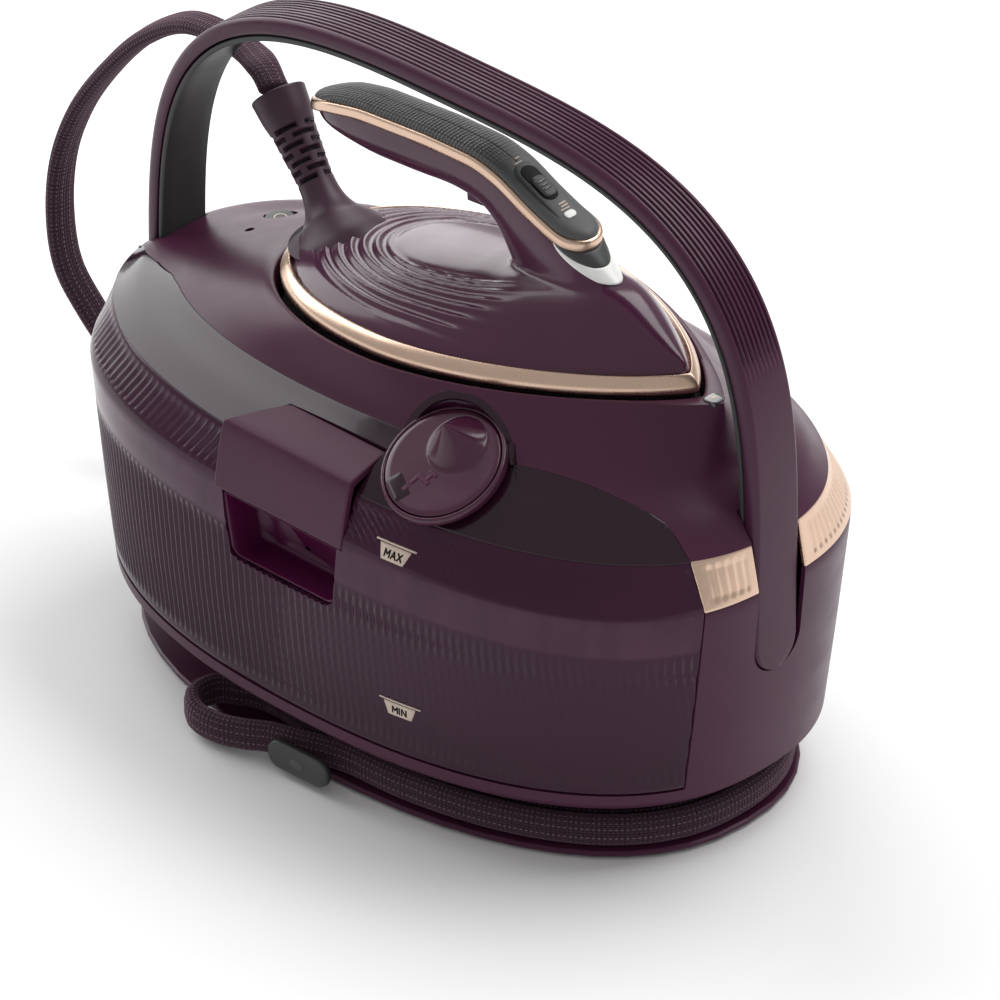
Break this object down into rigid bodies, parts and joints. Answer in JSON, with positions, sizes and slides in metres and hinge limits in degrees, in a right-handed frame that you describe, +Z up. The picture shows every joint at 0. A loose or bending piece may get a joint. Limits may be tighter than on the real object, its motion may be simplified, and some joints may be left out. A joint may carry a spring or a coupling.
{
  "type": "steam generator iron",
  "caption": "Steam generator iron: an oval station with a pull-out water tank, fixed carry handle, gold trim and wound steam hose, and a steam iron resting on its deck.",
  "frame": {"origin": "on the floor, under the middle of the station", "axes": "+Z up, +X towards the nose of the iron, -Y towards the water tank"},
  "size_m": [0.5093, 0.2502, 0.3365],
  "materials": {
    "aubergine_plastic": "satin",
    "satin_plastic": "satin",
    "smoke_plastic": "smoky, polished",
    "gold_trim": "satin metallic",
    "dark_plastic": "fine textured",
    "rubber": "matte",
    "steel": "brushed",
    "brass": "satin",
    "white_plastic": "polished",
    "amber_lens": "polished",
    "circuit_board": "matte",
    "hose_textile": "braided"
  },
  "bodies": {
    "station": {"pedestal": "aubergine_plastic", "hose_channel_core": "aubergine_plastic", "lower_housing": "aubergine_plastic", "tank_bay_wall": "aubergine_plastic", "handle_shell": "aubergine_plastic", "deck_cover": "satin_plastic", "trim_band_front": "gold_trim", "trim_band_rear": "gold_trim", "hose_outlet_gland": "dark_plastic", "mains_lead_gland": "dark_plastic", "hose_clip": "dark_plastic", "iron_rest": "dark_plastic", "handle_liner": "dark_plastic", "water_pump": "dark_plastic", "foot_front_right": "rubber", "foot_front_left": "rubber", "foot_rear_right": "rubber", "foot_rear_left": "rubber", "rest_mat": "rubber", "boiler": "steel", "boiler_bracket_left": "steel", "boiler_bracket_right": "steel", "boiler_seal_cap": "brass", "steam_valve": "brass", "status_light": "amber_lens", "control_board": "circuit_board", "hose_free_arc": "hose_textile", "hose_outer_turn": "hose_textile", "hose_bight": "hose_textile", "hose_inner_turn": "hose_textile"},
    "power_button": {"power_button": "dark_plastic"},
    "carry_lock_button": {"carry_lock_button": "dark_plastic"},
    "tank": {"tank_shell": "smoke_plastic", "tank_lid": "smoke_plastic", "tank_release_pad": "satin_plastic", "finger_recess": "aubergine_plastic", "tank_outlet_valve": "dark_plastic"},
    "filler_door": {"filler_door": "smoke_plastic", "filler_seal": "rubber"},
    "iron": {"soleplate": "steel", "heat_skirt": "dark_plastic", "gold_skirt": "gold_trim", "iron_shell": "satin_plastic", "steam_chamber": "steel", "grip_trim_ring": "gold_trim", "grip_pad": "dark_plastic", "panel_light": "white_plastic", "front_collar": "dark_plastic", "lamp_crescent": "white_plastic", "hose_boot": "aubergine_plastic"},
    "steam_slider": {"steam_slider": "dark_plastic"},
    "steam_trigger": {"steam_trigger": "satin_plastic"}
  },
  "joints": [
    {"name": "tank_slide", "type": "slide", "parent": "station", "child": "tank", "axis": [0, -1, 0], "range_m": [0, 0.15]},
    {"name": "filler_door_hinge", "type": "hinge", "parent": "tank", "child": "filler_door", "pos_m": [0.0534, -0.10848, 0.1783], "axis": [0.8669, -0.4227, -0.2642], "range_deg": [0, 95]},
    {"name": "iron_lift", "type": "slide", "parent": "station", "child": "iron", "axis": [0, 0, 1], "range_m": [0, 0.008], "deforming": ["hose_free_arc"]},
    {"name": "steam_slider_slide", "type": "slide", "parent": "iron", "child": "steam_slider", "axis": [0.9061, 0, -0.423], "range_m": [-0.0035, 0.0035]},
    {"name": "steam_trigger_press", "type": "slide", "parent": "iron", "child": "steam_trigger", "axis": [-0.0785, 0, 0.9969], "range_m": [0, 0.003], "stiffness_N_per_m": 400},
    {"name": "power_button_press", "type": "slide", "parent": "station", "child": "power_button", "axis": [0, 0, -1], "range_m": [0, 0.002], "stiffness_N_per_m": 400},
    {"name": "carry_lock_button_press", "type": "slide", "parent": "station", "child": "carry_lock_button", "axis": [0.0785, 0, -0.9969], "range_m": [0, 0.003], "stiffness_N_per_m": 400}
  ]
}
